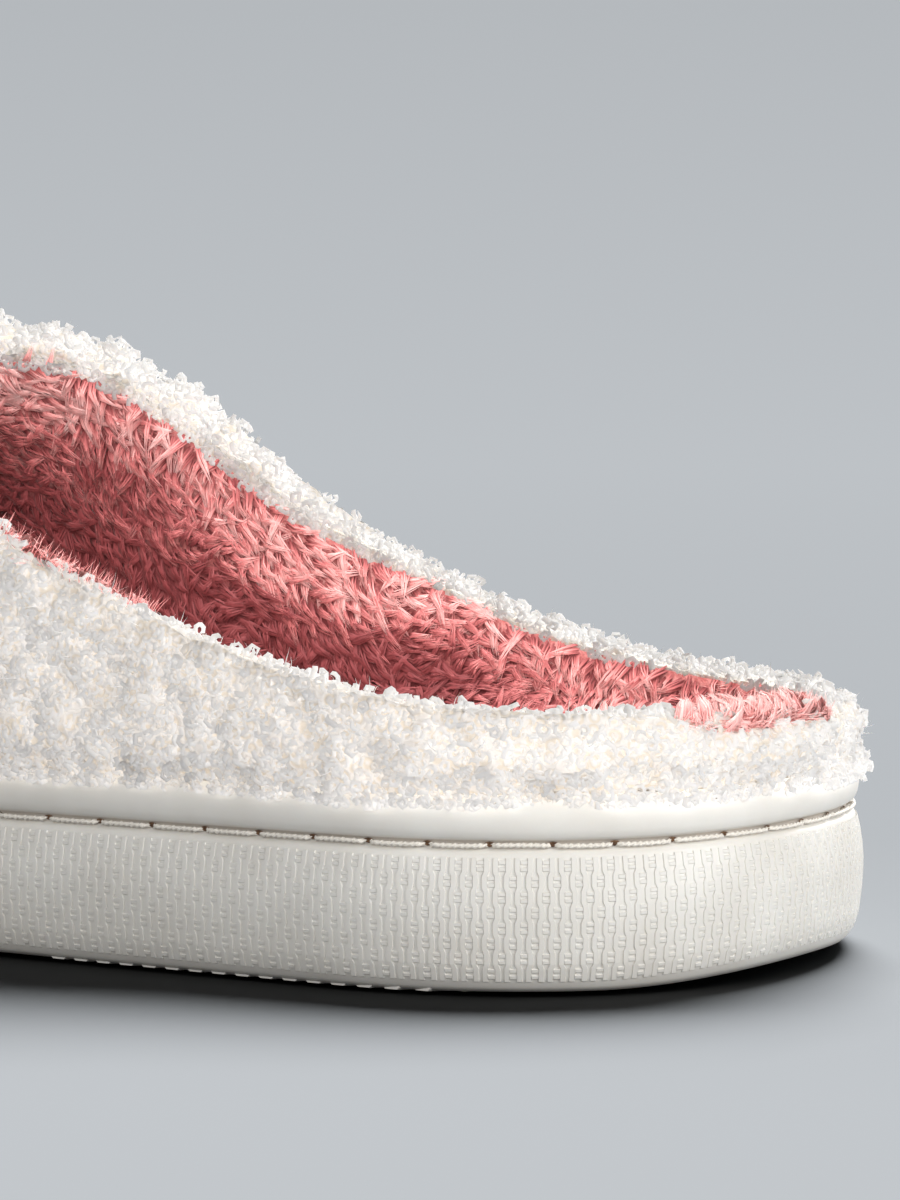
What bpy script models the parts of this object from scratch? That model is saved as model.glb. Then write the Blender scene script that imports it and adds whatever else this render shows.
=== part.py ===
"""House slipper for the left foot: a moulded cup sole, a hollow fleece upper and a padded insole.

The slipper is drawn in millimetres along its own length, from the back of the heel (station 0) to the tip of
the toe, and is moved to its frame when the meshes are made. In that frame +Y points to the toe, +X to the inner
(medial) side of the foot, +Z up, and the origin is under the middle of the slipper, on the floor.
"""

import math
from collections import namedtuple

import bmesh
import bpy

MM = 0.001  # metres in a millimetre

# Driving dimensions, in millimetres
LENGTH = 266.0  # heel to toe, over the bulge of the sole's wall
HEEL_HALF_WIDTH = 40.7
BALL_HALF_WIDTH = 51.2
SOLE_HEIGHT = 22.5  # floor to the top of the lip, at the heel
WALL = 4.0  # fleece, foam and lining backing together, without their pile
INSOLE_THICKNESS = 5.0
GAP = 0.3  # between pieces that meet

# Sole: plan
HEEL_LENGTH = 43.0  # from the back of the heel to its widest station
HEEL_POWER = 2.13  # superellipse of the heel's curve
TOE_START = 202.0  # widest station of the ball, where the toe's curve begins
TOE_POWER = 2.3
TOE_DRIFT = 7.0  # how far the tip of the toe lies to the medial side

PlanRow = namedtuple("PlanRow", "station lateral medial")
PLAN = (
    PlanRow(HEEL_LENGTH, HEEL_HALF_WIDTH, HEEL_HALF_WIDTH),
    PlanRow(70.0, 40.6, 39.7),
    PlanRow(96.0, 40.4, 37.9),
    PlanRow(122.0, 41.4, 38.4),
    PlanRow(150.0, 45.2, 42.4),
    PlanRow(178.0, 49.6, 48.2),
    PlanRow(192.0, 51.0, 50.6),
    PlanRow(TOE_START, BALL_HALF_WIDTH, BALL_HALF_WIDTH),
)

# Sole: underside
TOE_SPRING = 6.0
TOE_SPRING_START = 195.0
HEEL_BEVEL = 1.0
HEEL_BEVEL_LENGTH = 12.0
ARCH_RISE = 1.4
ARCH_START, ARCH_END = 90.0, 152.0

HeightRow = namedtuple("HeightRow", "station height")
SOLE_TOP = (  # top of the lip above the floor
    HeightRow(0.0, SOLE_HEIGHT),
    HeightRow(50.0, SOLE_HEIGHT),
    HeightRow(100.0, 22.2),
    HeightRow(150.0, 21.2),
    HeightRow(195.0, 21.0),
    HeightRow(232.0, 22.6),
    HeightRow(LENGTH, 26.0),
)

# Sole: the side, from the tread's edge up over the lip and down inside the cup
LIP_INNER = 4.0  # the cup's inner face, in from the widest line
CUP_FLOOR = 8.0
TREAD_DEPTH = 1.0
SideRow = namedtuple("SideRow", "inset height")
SOLE_SIDE = (
    SideRow(3.2, TREAD_DEPTH),  # edge of the tread
    SideRow(1.5, 1.8),
    SideRow(0.5, 4.4),
    SideRow(0.0, 9.6),  # widest line of the bulge
    SideRow(0.3, 13.2),
    SideRow(0.85, 16.0),  # upper edge of the wall
    SideRow(1.9, 16.6),  # sewn groove
    SideRow(1.9, 17.4),
    SideRow(0.9, 17.9),  # lower edge of the lip
    SideRow(0.4, 19.8),
    SideRow(1.0, 21.8),
    SideRow(2.2, SOLE_HEIGHT),
    SideRow(3.4, 22.1),
    SideRow(LIP_INNER, 21.0),
    SideRow(LIP_INNER, CUP_FLOOR),
)

# Sole: tread ribs, waved bars across the heel and the forefoot
RIB_PITCH = 6.4
RIB_HALF_WIDTH = 2.0
RIB_WAVE = 1.5  # height of the wave along the slipper
RIB_WAVE_LENGTH = 22.0
RIB_SIDE_MARGIN = 4.6  # from the sole's widest line to the end of a rib
RIB_ROOT = 3.0  # how high a rib reaches into the sole, above the floor
RIB_STEPS = 8
RIB_ZONES = ((13.0, 78.0), (153.0, 249.0))  # first and last station of the heel's and the forefoot's ribs

# Upper: the wall starts inside the cup, swells over the lip and then domes over the foot
TUCK_INSET = LIP_INNER + GAP
UPPER_FOOT = (
    SideRow(TUCK_INSET, CUP_FLOOR + GAP),
    SideRow(TUCK_INSET, 22.0),
    SideRow(2.7, 23.7),
    SideRow(1.7, 25.6),  # where the dome springs from
)
DOME_ROWS = 7
DOME_POWER = 2.1  # superellipse of a section across the foot
THROAT = 138.0  # station of the front of the opening, on the ridge
FOREPART_PULL = 36.0  # how quickly the ridge falls behind the toe's curve
HEEL_PULL = 22.0
HEEL_PULL_START = 40.0
RIM_ROUND = 1.5
RIM_ANGLE = math.radians(62)

RIDGE = (  # top of the last; behind the throat the foot fills it and the opening cuts it away
    HeightRow(0.0, 104.0),
    HeightRow(40.0, 104.0),
    HeightRow(80.0, 97.0),
    HeightRow(114.0, 84.6),
    HeightRow(126.0, 79.2),
    HeightRow(THROAT, 73.8),
    HeightRow(152.0, 68.8),
    HeightRow(175.0, 62.7),
    HeightRow(200.0, 57.2),
    HeightRow(216.0, 54.6),
    HeightRow(226.0, 53.8),
    HeightRow(234.0, 53.6),
)

CollarRow = namedtuple("CollarRow", "station lateral medial")
COLLAR = (  # height of the opening's edge above the floor
    CollarRow(0.0, 28.8, 28.8),
    CollarRow(20.0, 30.3, 28.9),
    CollarRow(42.0, 33.8, 30.7),
    CollarRow(58.0, 37.8, 34.4),
    CollarRow(74.0, 43.3, 40.6),
    CollarRow(90.0, 50.4, 48.2),
    CollarRow(106.0, 60.9, 60.9),
    CollarRow(114.0, 66.7, 67.0),
    CollarRow(122.0, 70.2, 70.4),
    CollarRow(130.0, 71.5, 71.6),
    CollarRow(THROAT, 72.6, 72.6),
)

# Insole
INSOLE_INSET = TUCK_INSET + WALL + GAP
INSOLE_ROUND = 1.2

# Facets
SIDE_COLUMNS = 48  # sections along each side of the slipper
THROAT_CROWDING = 1.8  # extra sections where the opening closes
THROAT_CROWD_STATION, THROAT_CROWD_REACH = 124.0, 14.0
PLAN_STEPS = 400  # steps of the drawn curve that the sections are read from
SMOOTH_ANGLE = math.radians(38)


def smooth(rows, column, station):
    """One column of a table at a station, on a smooth curve through the table's rows."""
    stations = [row.station for row in rows]
    values = [getattr(row, column) for row in rows]
    if station <= stations[0]:
        return values[0]
    if station >= stations[-1]:
        return values[-1]
    last = len(rows) - 1
    k = max(i for i in range(last) if stations[i] <= station)

    def slope(i):
        before, after = max(i - 1, 0), min(i + 1, last)
        return (values[after] - values[before]) / (stations[after] - stations[before])

    span = stations[k + 1] - stations[k]
    t = (station - stations[k]) / span
    rise = values[k + 1] - values[k]
    near, far = slope(k) * span, slope(k + 1) * span
    return values[k] + near * t + (3 * rise - 2 * near - far) * t**2 + (near + far - 2 * rise) * t**3


def plan_side(side):
    """The sole's widest line on one side (-1 lateral, 1 medial), from the heel's back to the toe's tip."""
    column = "lateral" if side < 0 else "medial"
    points = []
    for i in range(PLAN_STEPS):
        angle = math.pi / 2 * i / PLAN_STEPS
        across = HEEL_HALF_WIDTH * math.sin(angle) ** (2 / HEEL_POWER)
        points.append((side * across, HEEL_LENGTH * (1 - math.cos(angle) ** (2 / HEEL_POWER))))
    for i in range(PLAN_STEPS):
        station = HEEL_LENGTH + (TOE_START - HEEL_LENGTH) * i / PLAN_STEPS
        points.append((side * smooth(PLAN, column, station), station))
    for i in range(PLAN_STEPS + 1):
        angle = math.pi / 2 * i / PLAN_STEPS
        forward = math.sin(angle) ** (2 / TOE_POWER)
        across = BALL_HALF_WIDTH * max(math.cos(angle), 0.0) ** (2 / TOE_POWER)
        station = TOE_START + (LENGTH - TOE_START) * forward
        points.append((side * across + TOE_DRIFT * forward**2, station))
    return points


def spaced(points):
    """Points at SIDE_COLUMNS + 1 even steps along a drawn side, crowded together near the throat."""
    lengths = [0.0]
    for a, b in zip(points, points[1:]):
        middle = (a[1] + b[1]) / 2
        crowd = math.exp(-(((middle - THROAT_CROWD_STATION) / THROAT_CROWD_REACH) ** 2))
        lengths.append(lengths[-1] + math.dist(a, b) * (1 + THROAT_CROWDING * crowd))
    found, k = [], 0
    for i in range(SIDE_COLUMNS + 1):
        wanted = lengths[-1] * i / SIDE_COLUMNS
        while k < len(points) - 2 and lengths[k + 1] < wanted:
            k += 1
        t = (wanted - lengths[k]) / (lengths[k + 1] - lengths[k])
        found.append(tuple(p + (q - p) * t for p, q in zip(points[k], points[k + 1])))
    return found


LATERAL, MEDIAL = spaced(plan_side(-1)), spaced(plan_side(1))
OUTLINE = LATERAL + MEDIAL[-2:0:-1]  # once round, from the heel's back by the lateral side
COLUMNS = len(OUTLINE)
MIDDLE_X = (min(x for x, _ in OUTLINE) + max(x for x, _ in OUTLINE)) / 2
MIDDLE_Y = LENGTH / 2


def inset_ring(inset):
    """The outline moved inwards by a distance, as plan points."""
    ring = []
    for i, (x, y) in enumerate(OUTLINE):
        before, after = OUTLINE[i - 1], OUTLINE[(i + 1) % COLUMNS]
        along = (after[0] - before[0], after[1] - before[1])
        size = math.hypot(*along)
        ring.append((x + along[1] / size * inset, y - along[0] / size * inset))
    return ring


def underside(station):
    """Height of the tread's face above the floor: heel bevel, arch and toe spring."""
    bevel = max(HEEL_BEVEL_LENGTH - station, 0.0) / HEEL_BEVEL_LENGTH
    spring = max(station - TOE_SPRING_START, 0.0) / (LENGTH - TOE_SPRING_START)
    arch = min(max((station - ARCH_START) / (ARCH_END - ARCH_START), 0.0), 1.0)
    arch_share = 0.5 - 0.5 * math.cos(2 * math.pi * arch)
    return HEEL_BEVEL * bevel**2 + ARCH_RISE * arch_share + TOE_SPRING * spring**2


def level(station, height):
    """Height above the floor of a height drawn on the sole's side, which is thinner towards the toe."""
    low = underside(station)
    return low + (smooth(SOLE_TOP, "height", station) - low) * height / SOLE_HEIGHT


def side_ring(row):
    """One ring of a side profile, as points in space."""
    return [(x, y, level(y, row.height)) for x, y in inset_ring(row.inset)]


def framed(point):
    """A drawn point, in metres, in the slipper's frame."""
    return ((point[0] - MIDDLE_X) * MM, (point[1] - MIDDLE_Y) * MM, point[2] * MM)


def rung_faces(bm, ring):
    """Closes a ring with rungs from each lateral point to the medial point across from it."""
    bm.faces.new((ring[0], ring[1], ring[-1]))
    for i in range(1, SIDE_COLUMNS - 1):
        bm.faces.new((ring[i], ring[i + 1], ring[-i - 1], ring[-i]))
    bm.faces.new((ring[SIDE_COLUMNS - 1], ring[SIDE_COLUMNS], ring[SIDE_COLUMNS + 1]))


def lofted(bm, rings):
    """Skins rings of points one to the next and returns the rings' vertices."""
    made = [[bm.verts.new(framed(p)) for p in ring] for ring in rings]
    for low, high in zip(made, made[1:]):
        for i in range(len(low)):
            j = (i + 1) % len(low)
            bm.faces.new((low[i], low[j], high[j], high[i]))
    return made


def finished(bm, name, collection):
    """Turns a bmesh into a named, smooth-shaded object of a collection."""
    bmesh.ops.recalc_face_normals(bm, faces=bm.faces)
    mesh = bpy.data.meshes.new(name)
    bm.to_mesh(mesh)
    bm.free()
    mesh.shade_smooth()
    mesh.set_sharp_from_angle(angle=SMOOTH_ANGLE)
    obj = bpy.data.objects.new(name, mesh)
    collection.objects.link(obj)
    return obj


def painted(obj, name, colour, roughness):
    """Gives an object its own plain material."""
    material = bpy.data.materials.new(name)
    material.use_nodes = True
    shader = material.node_tree.nodes["Principled BSDF"]
    shader.inputs["Base Color"].default_value = (*colour, 1.0)
    shader.inputs["Roughness"].default_value = roughness
    shader.inputs["Metallic"].default_value = 0.0
    obj.data.materials.append(material)


def half_width(side, station):
    """Distance from the long axis to the sole's widest line, at a station."""
    points = LATERAL if side < 0 else MEDIAL
    for a, b in zip(points, points[1:]):
        if a[1] <= station <= b[1]:
            t = (station - a[1]) / max(b[1] - a[1], 1e-6)
            return side * (a[0] + (b[0] - a[0]) * t)
    return 0.0


def tread_rib(bm, station):
    """One waved bar across the tread, from the floor up into the sole."""
    left = -half_width(-1, station) + RIB_SIDE_MARGIN
    right = half_width(1, station) - RIB_SIDE_MARGIN
    rings = []
    for i in range(RIB_STEPS + 1):
        x = left + (right - left) * i / RIB_STEPS
        middle = station + RIB_WAVE * math.cos(2 * math.pi * x / RIB_WAVE_LENGTH)
        back, front = middle - RIB_HALF_WIDTH, middle + RIB_HALF_WIDTH
        foot, root = underside(station), underside(station) + RIB_ROOT
        rings.append([(x, back, foot), (x, front, foot), (x, front, root), (x, back, root)])
    made = lofted(bm, rings)
    bm.faces.new(made[0])
    bm.faces.new(made[-1])


def make_cupsole(parts, helpers):
    """The moulded sole: lofted side, rung floors above and below, and ribs joined to its underside."""
    bm = bmesh.new()
    made = lofted(bm, [side_ring(row) for row in SOLE_SIDE])
    rung_faces(bm, made[0])
    rung_faces(bm, made[-1])
    sole = finished(bm, "cupsole", parts)

    bm = bmesh.new()
    for first, last in RIB_ZONES:
        count = round((last - first) / RIB_PITCH) + 1
        for i in range(count):
            tread_rib(bm, first + RIB_PITCH * i)
    ribs = finished(bm, "tread_ribs", helpers)
    ribs.hide_render = True
    ribs.display_type = "WIRE"
    join = sole.modifiers.new("join_ribs", "BOOLEAN")
    join.operation = "UNION"
    join.object = ribs
    painted(sole, "moulded_rubber", (0.80, 0.77, 0.72), 0.5)


def ridge_station(station):
    """Station on the ridge that a section standing at an outline station leans towards."""
    if station > TOE_START:
        return TOE_START + FOREPART_PULL * (1 - math.exp(-(station - TOE_START) / FOREPART_PULL))
    if station < HEEL_PULL_START:
        return HEEL_PULL_START - HEEL_PULL * (1 - math.exp(-(HEEL_PULL_START - station) / HEEL_PULL))
    return station


def pair_station(pair):
    """Station on the ridge of a pair of sections that face each other across the slipper."""
    return ridge_station((LATERAL[pair][1] + MEDIAL[pair][1]) / 2)


def ridge_point(pair):
    """Point of the ridge above a pair of sections."""
    station = pair_station(pair)
    return ((LATERAL[pair][0] + MEDIAL[pair][0]) / 2, station, smooth(RIDGE, "height", station))


def dome_reach(pair, column, spring_height):
    """Angle up the dome at which a section stops: a right angle on the ridge, less where the foot goes in."""
    station = pair_station(pair)
    rise = smooth(RIDGE, "height", station) - spring_height
    share = (smooth(COLLAR, column, station) - spring_height) / rise
    if station >= THROAT or share >= 1:
        return math.pi / 2
    return math.asin(share ** (DOME_POWER / 2))


def upper_section(index, foot_rings):
    """Points of one section of the upper's outer face, from inside the cup to the collar or the ridge."""
    pair = min(index, COLUMNS - index)
    column = "lateral" if index <= SIDE_COLUMNS else "medial"
    points = [ring[index] for ring in foot_rings]
    spring, top = points[-1], ridge_point(pair)
    reach = dome_reach(pair, column, spring[2])
    for row in range(1, DOME_ROWS + 1):
        angle = reach * row / DOME_ROWS
        inward = 1 - max(math.cos(angle), 0.0) ** (2 / DOME_POWER)
        upward = math.sin(angle) ** (2 / DOME_POWER)
        plan = [spring[k] + (top[k] - spring[k]) * inward for k in (0, 1)]
        points.append((*plan, spring[2] + (top[2] - spring[2]) * upward))
    return points


def make_upper(parts):
    """The hollow upper: an open skin over the last, given its wall inwards, with a rounded collar."""
    foot_rings = [side_ring(row) for row in UPPER_FOOT]
    sections = [upper_section(i, foot_rings) for i in range(COLUMNS)]
    bm = bmesh.new()
    lofted(bm, list(zip(*sections)))
    bmesh.ops.remove_doubles(bm, verts=bm.verts, dist=0.02 * MM)
    upper = finished(bm, "upper", parts)
    shell = upper.modifiers.new("wall", "SOLIDIFY")
    shell.thickness = WALL * MM
    shell.offset = -1.0
    shell.use_even_offset = True
    rim = upper.modifiers.new("rounded_rims", "BEVEL")
    rim.width = RIM_ROUND * MM
    rim.segments = 2
    rim.limit_method = "ANGLE"
    rim.angle_limit = RIM_ANGLE
    painted(upper, "white_fleece", (0.86, 0.84, 0.81), 0.95)


def make_insole(parts):
    """The padded footbed, a plate with rounded edges that follows the cup's floor."""
    low = CUP_FLOOR + GAP
    high = low + INSOLE_THICKNESS
    rows = (
        SideRow(INSOLE_INSET + INSOLE_ROUND, low),
        SideRow(INSOLE_INSET, low + INSOLE_ROUND),
        SideRow(INSOLE_INSET, high - INSOLE_ROUND),
        SideRow(INSOLE_INSET + INSOLE_ROUND, high),
    )
    bm = bmesh.new()
    made = lofted(bm, [side_ring(row) for row in rows])
    rung_faces(bm, made[0])
    rung_faces(bm, made[-1])
    insole = finished(bm, "insole", parts)
    painted(insole, "pink_plush", (0.66, 0.27, 0.27), 0.95)


def main():
    for obj in list(bpy.data.objects):
        bpy.data.objects.remove(obj)
    parts = bpy.data.collections.new("house_slipper")
    helpers = bpy.data.collections.new("helpers")
    bpy.context.scene.collection.children.link(parts)
    bpy.context.scene.collection.children.link(helpers)
    make_cupsole(parts, helpers)
    make_upper(parts)
    make_insole(parts)


main()
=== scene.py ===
"""Looks of the left house slipper: rubber cup sole, looped white fleece, pink plush lining and footbed.

The slipper's sizes are millimetres, as the solids are drawn, with stations along it from the back of the heel
(0) to the toe. They become the frame's metres in one place, framed(). The studio's sizes are metres.
"""

import math
from collections import namedtuple

import bpy
import numpy as np
from mathutils import Euler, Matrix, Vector, noise


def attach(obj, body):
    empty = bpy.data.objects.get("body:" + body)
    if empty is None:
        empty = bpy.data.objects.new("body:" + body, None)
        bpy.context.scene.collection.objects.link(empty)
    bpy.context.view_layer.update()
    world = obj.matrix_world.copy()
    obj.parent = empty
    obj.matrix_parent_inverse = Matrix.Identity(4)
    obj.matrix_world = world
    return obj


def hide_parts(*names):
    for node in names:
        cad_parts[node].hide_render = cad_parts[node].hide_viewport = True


MM = 0.001
rng = np.random.default_rng(11)

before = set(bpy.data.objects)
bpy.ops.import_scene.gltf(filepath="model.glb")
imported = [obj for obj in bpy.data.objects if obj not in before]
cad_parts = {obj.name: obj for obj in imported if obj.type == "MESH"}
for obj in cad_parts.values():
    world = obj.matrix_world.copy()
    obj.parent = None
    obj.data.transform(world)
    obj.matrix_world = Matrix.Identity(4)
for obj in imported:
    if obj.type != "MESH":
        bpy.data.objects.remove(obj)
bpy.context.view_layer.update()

# Sizes of the solids that the pieces here follow
LENGTH = 266.0
HEEL_HALF_WIDTH = 40.7
BALL_HALF_WIDTH = 51.2
SOLE_HEIGHT = 22.5
HEEL_LENGTH, HEEL_POWER = 43.0, 2.13
TOE_START, TOE_POWER, TOE_DRIFT = 202.0, 2.3, 7.0
TOE_SPRING, TOE_SPRING_START = 6.0, 195.0
HEEL_BEVEL, HEEL_BEVEL_LENGTH = 1.8, 14.0  # a little rounder than the solid's 1.0 over 12.0
ARCH_RISE, ARCH_START, ARCH_END = 1.4, 90.0, 152.0
CUP_FLOOR = 8.0
GAP = 0.3
INSOLE_INSET = 8.6
INSOLE_THICKNESS = 5.0
RIB_ZONES = ((13.0, 78.0), (153.0, 249.0))

PlanRow = namedtuple("PlanRow", "station lateral medial")
PLAN = (
    PlanRow(HEEL_LENGTH, HEEL_HALF_WIDTH, HEEL_HALF_WIDTH),
    PlanRow(70.0, 40.6, 39.7),
    PlanRow(96.0, 40.4, 37.9),
    PlanRow(122.0, 41.4, 38.4),
    PlanRow(150.0, 45.2, 42.4),
    PlanRow(178.0, 49.6, 48.2),
    PlanRow(192.0, 51.0, 50.6),
    PlanRow(TOE_START, BALL_HALF_WIDTH, BALL_HALF_WIDTH),
)

HeightRow = namedtuple("HeightRow", "station height")
SOLE_TOP = (
    HeightRow(0.0, SOLE_HEIGHT),
    HeightRow(50.0, SOLE_HEIGHT),
    HeightRow(100.0, 22.2),
    HeightRow(150.0, 21.2),
    HeightRow(195.0, 21.0),
    HeightRow(232.0, 22.6),
    HeightRow(LENGTH, 26.0),
)

# The sole's side with its edges rounded, from the tread up over the lip and down into the cup
SideRow = namedtuple("SideRow", "inset height")
SOLE_SIDE = (
    SideRow(3.2, 0.5),
    SideRow(2.2, 0.62),
    SideRow(1.5, 1.2),
    SideRow(0.95, 2.3),
    SideRow(0.5, 4.0),
    SideRow(0.18, 6.8),
    SideRow(0.0, 9.6),
    SideRow(0.08, 11.6),
    SideRow(0.3, 13.2),
    SideRow(0.5, 14.6),
    SideRow(0.8, 15.8),  # upper edge of the wall
    SideRow(1.05, 16.25),
    SideRow(1.5, 16.5),
    SideRow(1.9, 16.8),  # bottom of the groove
    SideRow(1.95, 17.1),
    SideRow(1.7, 17.45),
    SideRow(1.25, 17.65),
    SideRow(0.85, 17.95),  # lower edge of the lip
    SideRow(0.55, 18.7),
    SideRow(0.4, 19.7),
    SideRow(0.5, 20.7),
    SideRow(0.9, 21.65),
    SideRow(1.5, 22.25),
    SideRow(2.2, SOLE_HEIGHT),
    SideRow(2.9, 22.4),
    SideRow(3.5, 22.0),
    SideRow(3.9, 21.2),
    SideRow(4.0, 20.0),
    SideRow(4.0, CUP_FLOOR),
)
WALL_FOOT, WALL_HEAD = 1.9, 15.7  # heights between which the side wall carries its relief

CollarRow = namedtuple("CollarRow", "station lateral medial")
COLLAR = (
    CollarRow(0.0, 28.8, 28.8),
    CollarRow(20.0, 30.3, 28.9),
    CollarRow(42.0, 33.8, 30.7),
    CollarRow(58.0, 37.8, 34.4),
    CollarRow(74.0, 43.3, 40.6),
    CollarRow(90.0, 50.4, 48.2),
    CollarRow(106.0, 60.9, 60.9),
    CollarRow(114.0, 66.7, 67.0),
    CollarRow(122.0, 70.2, 70.4),
    CollarRow(130.0, 71.5, 71.6),
    CollarRow(138.0, 72.6, 72.6),
)
THROAT = 138.0

PLAN_STEPS = 500  # points of each of the three curves that a side is drawn from
OUTLINE_STEPS = 2400  # even steps of the outline that everything along the sole is read from
OUTLINE_REACH = 4  # steps each way over which the outline's direction is read


def rising(values, start, length):
    """0 up to a start, then rising to 1 over a length."""
    return np.clip((values - start) / length, 0.0, 1.0)


def falling(values, end, length):
    """1, then falling over a length to 0 at an end."""
    return np.clip((end - values) / length, 0.0, 1.0)


def smooth(rows, column, stations):
    """One column of a table at stations, on a smooth curve through the table's rows."""
    at = np.array([row.station for row in rows])
    values = np.array([getattr(row, column) for row in rows])
    before = np.maximum(np.arange(len(rows)) - 1, 0)
    after = np.minimum(np.arange(len(rows)) + 1, len(rows) - 1)
    slopes = (values[after] - values[before]) / (at[after] - at[before])
    stations = np.clip(stations, at[0], at[-1])
    k = np.clip(np.searchsorted(at, stations, side="right") - 1, 0, len(rows) - 2)
    span = at[k + 1] - at[k]
    t = (stations - at[k]) / span
    rise = values[k + 1] - values[k]
    near, far = slopes[k] * span, slopes[k + 1] * span
    return values[k] + near * t + (3 * rise - 2 * near - far) * t**2 + (near + far - 2 * rise) * t**3


def plan_side(side, column):
    """The sole's widest line on one side, from the heel's back to the toe's tip, closely drawn."""
    turn = np.linspace(0.0, math.pi / 2, PLAN_STEPS)
    reach = np.linspace(HEEL_LENGTH, TOE_START, PLAN_STEPS)
    forward = np.sin(turn) ** (2 / TOE_POWER)
    across = np.concatenate(
        (
            side * HEEL_HALF_WIDTH * np.sin(turn) ** (2 / HEEL_POWER),
            side * smooth(PLAN, column, reach),
            side * BALL_HALF_WIDTH * np.cos(turn) ** (2 / TOE_POWER) + TOE_DRIFT * forward**2,
        )
    )
    along = np.concatenate(
        (
            HEEL_LENGTH * (1 - np.cos(turn) ** (2 / HEEL_POWER)),
            reach,
            TOE_START + (LENGTH - TOE_START) * forward,
        )
    )
    return np.stack((across, along), 1)


def even_outline():
    """The outline once round from the heel's back by the lateral side, at even steps, and its length."""
    loop = np.concatenate((plan_side(-1, "lateral"), plan_side(1, "medial")[::-1]))
    reach = np.concatenate(((0.0,), np.cumsum(np.hypot(*np.diff(loop, axis=0).T))))
    at = np.linspace(0.0, reach[-1], OUTLINE_STEPS, endpoint=False)
    return np.stack([np.interp(at, reach, loop[:, k]) for k in (0, 1)], 1), reach[-1]


OUTLINE, AROUND = even_outline()
ALONG = np.roll(OUTLINE, -OUTLINE_REACH, axis=0) - np.roll(OUTLINE, OUTLINE_REACH, axis=0)
ALONG /= np.hypot(*ALONG.T)[:, None]
INWARD = np.stack((ALONG[:, 1], -ALONG[:, 0]), 1)
MIDDLE = np.array(((OUTLINE[:, 0].min() + OUTLINE[:, 0].max()) / 2, LENGTH / 2, 0.0))


def framed(points):
    """Drawn points, in metres, in the slipper's frame."""
    return (np.asarray(points) - MIDDLE) * MM


def level(stations, heights):
    """Height above the floor of heights drawn on the sole's side."""
    bevel = np.maximum(HEEL_BEVEL_LENGTH - stations, 0.0) / HEEL_BEVEL_LENGTH
    spring = np.maximum(stations - TOE_SPRING_START, 0.0) / (LENGTH - TOE_SPRING_START)
    arch = 0.5 - 0.5 * np.cos(2 * math.pi * rising(stations, ARCH_START, ARCH_END - ARCH_START))
    low = HEEL_BEVEL * bevel**2 + ARCH_RISE * arch + TOE_SPRING * spring**2
    return low + (smooth(SOLE_TOP, "height", stations) - low) * heights / SOLE_HEIGHT


def on_sole(arc, inset, height):
    """Points at distances round the outline, in from it, at heights of the sole's side."""
    arc, inset, height = np.broadcast_arrays(arc, inset, height)
    step = (arc / AROUND * OUTLINE_STEPS) % OUTLINE_STEPS
    low = np.floor(step).astype(int) % OUTLINE_STEPS
    share = (step - np.floor(step))[..., None]
    high = (low + 1) % OUTLINE_STEPS
    plan = OUTLINE[low] * (1 - share) + OUTLINE[high] * share
    plan = plan + (INWARD[low] * (1 - share) + INWARD[high] * share) * inset[..., None]
    return np.concatenate((plan, level(plan[..., 1], height)[..., None]), -1)


def tube_faces(count, steps, sides):
    """Quads of tubes whose points are numbered tube by tube, ring by ring."""
    k, i, j = np.meshgrid(np.arange(count), np.arange(steps - 1), np.arange(sides), indexing="ij")
    low, high = (k * steps + i) * sides, (k * steps + i + 1) * sides
    on = (j + 1) % sides
    return np.stack((low + j, low + on, high + on, high + j), -1).reshape(-1, 4)


def rung_faces(ring):
    """Closes a ring of the sole with rungs from side to side."""
    count = len(ring)
    i = np.arange(1, count // 2 - 1)
    return [
        (ring[0], ring[1], ring[-1]),
        *np.stack((ring[i], ring[i + 1], ring[count - i - 1], ring[count - i]), 1).tolist(),
        (ring[count // 2 - 1], ring[count // 2], ring[count // 2 + 1]),
    ]


def closed_body(rows, columns):
    """Points and faces of a closed body whose side follows the sole's outline."""
    arc = -np.arange(columns) * AROUND / columns
    rings = np.stack([on_sole(arc, row.inset, row.height) for row in rows])
    ring = np.arange(columns)
    faces = tube_faces(1, len(rows), columns).tolist()
    faces += rung_faces(ring[::-1])
    faces += rung_faces(ring + (len(rows) - 1) * columns)
    return rings.reshape(-1, 3), faces


slipper = bpy.data.collections.new("slipper")
sole_pieces = bpy.data.collections.new("sole_pieces")
fleece_pieces = bpy.data.collections.new("fleece_pieces")
plush_pieces = bpy.data.collections.new("plush_pieces")
studio = bpy.data.collections.new("studio")


def piece(name, points, faces, material, shade_flat=False, normals=None, **attributes):
    """A mesh of drawn points that rides on the slipper, with per-point numbers for its material.

    Pile gets its own softened normals. The fleece is thin and lets light through, so it casts no shadow.
    """
    mesh = bpy.data.meshes.new(name)
    mesh.from_pydata(framed(points).tolist(), [], faces if isinstance(faces, list) else faces.tolist())
    for label, values in attributes.items():
        mesh.attributes.new(label, "FLOAT", "POINT").data.foreach_set("value", np.asarray(values, np.float32))
    if not shade_flat:
        mesh.shade_smooth()
    if normals is not None:
        mesh.normals_split_custom_set_from_vertices(normals.tolist())
    mesh.materials.append(material)
    obj = bpy.data.objects.new(name, mesh)
    bpy.context.scene.collection.objects.link(obj)
    slipper.objects.link(obj)
    if material in (PLUSH, PLUSH_GROUND):
        plush_pieces.objects.link(obj)
    elif material in (FLEECE, FLEECE_GROUND):
        fleece_pieces.objects.link(obj)
        obj.visible_shadow = False
    else:
        sole_pieces.objects.link(obj)
    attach(obj, "root")
    return obj


def unit(vectors):
    """Vectors at a length of 1."""
    return vectors / np.maximum(np.linalg.norm(vectors, axis=-1, keepdims=True), 1e-9)


# Materials

def linear(code):
    """An sRGB hex colour as linear RGBA."""
    channels = [int(code[k : k + 2], 16) / 255 for k in (0, 2, 4)]
    return (*(c / 12.92 if c <= 0.04045 else ((c + 0.055) / 1.055) ** 2.4 for c in channels), 1.0)


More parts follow.
